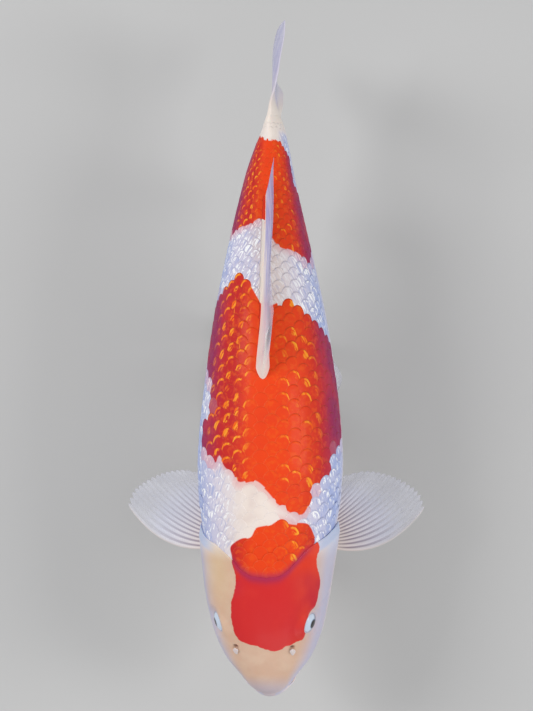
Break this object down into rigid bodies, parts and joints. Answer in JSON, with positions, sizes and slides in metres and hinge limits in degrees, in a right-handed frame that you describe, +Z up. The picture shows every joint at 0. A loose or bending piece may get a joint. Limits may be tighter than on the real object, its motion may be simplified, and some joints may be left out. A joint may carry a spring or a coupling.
{
  "type": "koi carp display model",
  "caption": "Still life-size koi carp with a white body and red patches, its pectoral fins spread, held level on a plain display stand.",
  "frame": {"origin": "the middle of the underside of the stand's base, on the floor, under the fish's centre of mass", "axes": "+Z up, -Y towards the snout and +Y towards the tail, +X towards the fish's left side"},
  "size_m": [0.2824, 0.6093, 0.2636],
  "materials": {
    "skin": "wet-looking scaled skin, pearly white with orange-red patches on the crown, the middle of the back and the tail stalk",
    "fin": "translucent white web with raised rays",
    "eye": "glossy black pupil in a pale blue-white ring",
    "stand_board": "dark stained wood, satin",
    "stand_rod": "brushed"
  },
  "bodies": {
    "root": {"head": "skin", "lower_jaw": "skin", "lip_upper": "skin", "lip_lower": "skin", "barbel_front_left": "skin", "barbel_front_right": "skin", "barbel_rear_left": "skin", "barbel_rear_right": "skin", "eye_left": "eye", "eye_right": "eye", "gill_cover_left": "skin", "gill_cover_right": "skin", "trunk_front": "skin", "trunk_rear": "skin", "tail_stalk": "skin", "dorsal_fin": "fin", "anal_fin": "fin", "pectoral_fin_left": "fin", "pectoral_fin_right": "fin", "pelvic_fin_left": "fin", "pelvic_fin_right": "fin", "tail_fin_upper": "fin", "tail_fin_lower": "fin", "stand_base": "stand_board", "stand_rod_front": "stand_rod", "stand_rod_rear": "stand_rod"}
  },
  "joints": []
}
